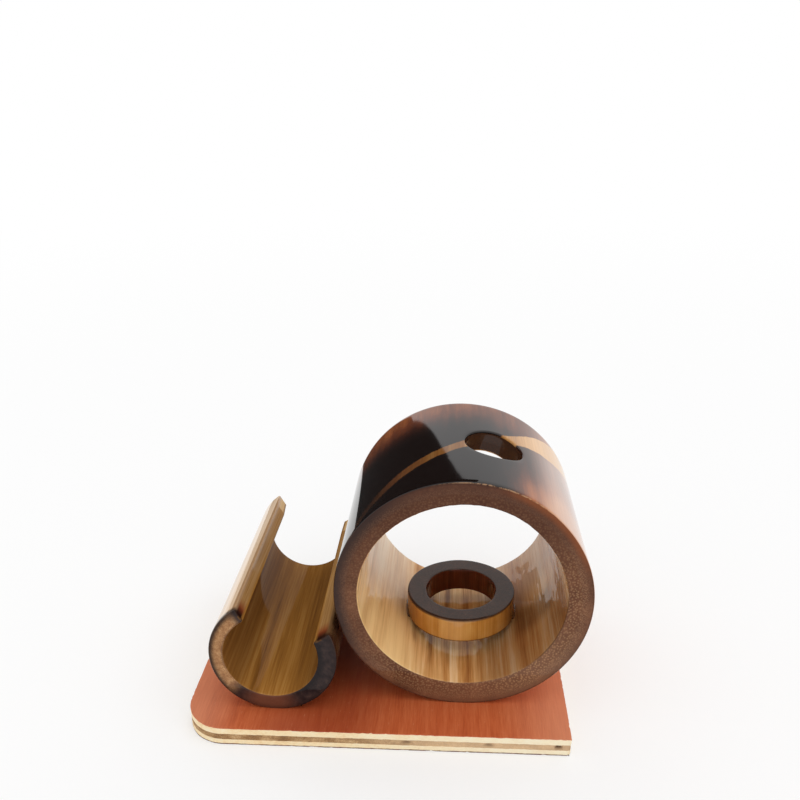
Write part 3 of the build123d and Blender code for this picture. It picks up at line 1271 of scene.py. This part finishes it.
def add_camera():
    """Camera at the photograph's place: its eye, its tilt and its lens."""
    eye = Vector((19.842, -203.44, 160.959)) * MM
    pitch, yaw, roll = radians(21.139), radians(-3.944), radians(-0.987)
    lens, sensor_width = 37.137, 36
    nearest = 5 * MM
    forward = Vector((sin(yaw) * cos(pitch), cos(yaw) * cos(pitch), -sin(pitch)))
    level_right = Vector((cos(yaw), -sin(yaw), 0))
    level_up = level_right.cross(forward)
    right = level_right * cos(roll) + level_up * sin(roll)
    up = level_up * cos(roll) - level_right * sin(roll)
    camera = bpy.data.objects.new("camera", bpy.data.cameras.new("camera"))
    camera.data.lens = lens
    camera.data.sensor_width = sensor_width
    camera.data.clip_start = nearest
    camera.matrix_world = Matrix((right, up, -forward)).transposed().to_4x4()
    camera.location = eye
    bpy.context.scene.collection.objects.link(camera)
    bpy.context.scene.camera = camera


def seen_rays(graph):
    """1 for what the camera sees, straight or mirrored in a gloss, and 0 for what only lights the object."""
    rays = graph.node("ShaderNodeLightPath").outputs
    straight, mirrored, passed = [
        Value(graph, rays[f"Is {kind} Ray"]) for kind in ("Camera", "Glossy", "Transmission")
    ]
    return straight.most(mirrored).most(passed)


def add_studio():
    """White surround, one broad soft lamp from above, a pale floor and a dark card."""
    surround_light = 0.84
    lamp_energy, lamp_breadth = 0.6, radians(60)
    lamp_tilt = (radians(4), radians(22), 0)
    scene = bpy.context.scene
    scene.view_settings.view_transform = "Standard"
    world = bpy.data.worlds.new("surround")
    scene.world = world
    world.use_nodes = True
    world.node_tree.nodes.clear()
    graph = Graph(world.node_tree)
    strength = seen_rays(graph) * (1 - surround_light) + surround_light
    light = graph.output("ShaderNodeBackground", None, {"Color": (1, 1, 1, 1), "Strength": strength})
    graph.node("ShaderNodeOutputWorld", None, {"Surface": light})

    lamp = bpy.data.objects.new("soft_lamp", bpy.data.lights.new("soft_lamp", "SUN"))
    lamp.data.energy = lamp_energy
    lamp.data.angle = lamp_breadth
    lamp.rotation_euler = lamp_tilt
    scene.collection.objects.link(lamp)

    add_floor()
    add_flag()


def stage_sheet(name, corners, material):
    """Flat sheet of the studio, given by its corners in metres."""
    mesh = bpy.data.meshes.new(name)
    mesh.from_pydata(corners, [], [range(len(corners))])
    mesh.materials.append(material)
    sheet = bpy.data.objects.new(name, mesh)
    bpy.context.scene.collection.objects.link(sheet)
    return sheet


def add_floor():
    """Pale floor that keeps the shadow near the object and turns plain white towards the horizon."""
    half = 8.0
    near, far = 220, 900
    near_glow = 0.4
    material, graph = empty_material("floor")
    x, y, _ = graph.parts(graph.place())
    glow_share = near_glow + ((x * x + y * y) ** 0.5).rise(near, far) * (1 - near_glow)
    paper = graph.output("ShaderNodeBsdfDiffuse", None, {"Color": tone(250, 250, 250)})
    glow = graph.output("ShaderNodeEmission", None, {"Color": (1, 1, 1, 1)})
    blend = graph.output("ShaderNodeMixShader", None, {0: glow_share * seen_rays(graph), 1: paper, 2: glow})
    graph.node("ShaderNodeOutputMaterial", None, {"Surface": blend})
    stage_sheet("floor", [(-half, -half, 0), (half, -half, 0), (half, half, 0), (-half, half, 0)], material)


def add_flag():
    """Dark card behind on the left, which only reflections show, so that the scorched skin looks dark."""
    behind = 0.15
    # The card's right edge from the floor up, then its left corners, as (x, z) in metres
    edge = [(-0.043, 0), (-0.039, 0.096), (-0.024, 0.118), (-0.011, 0.135), (0.002, 0.1466), (0.011, 0.153)]
    edge += [(0.021, 0.1575), (0.032, 0.159), (0.05, 0.157), (0.053, 0.27)]
    corners = edge + [(-0.34, 0.27), (-0.34, 0)]
    material = finish("flag", lambda graph: {"Base Color": tone(38, 36, 36)}, Roughness=0.9)
    flag = stage_sheet("flag", [(x, behind, z) for x, z in corners], material)
    for rays in ("camera", "diffuse", "shadow", "transmission"):
        setattr(flag, "visible_" + rays, False)


add_camera()
add_studio()
add_base()
add_piece("pen_ring_culm", ring_mesh(), "pen_ring", "ring_bamboo")
add_piece("phone_trough_culm", trough_mesh(), "phone_trough", "trough_bamboo")
for glue, x, z, radius in (
    ("ring_glue", ring_x, ring_z, ring_radius),
    ("trough_glue", trough_x, trough_z, trough_radius),
):
    add_piece(glue + "_beads", foot_beads(glue + "_beads", glue, x, z, radius), glue, "glue")
add_piece("pen_cup_slice", cup_mesh(), "pen_cup", "cup_bamboo")
add_piece("cup_glue_beads", cup_beads("cup_glue_beads"), "cup_glue", "glue")
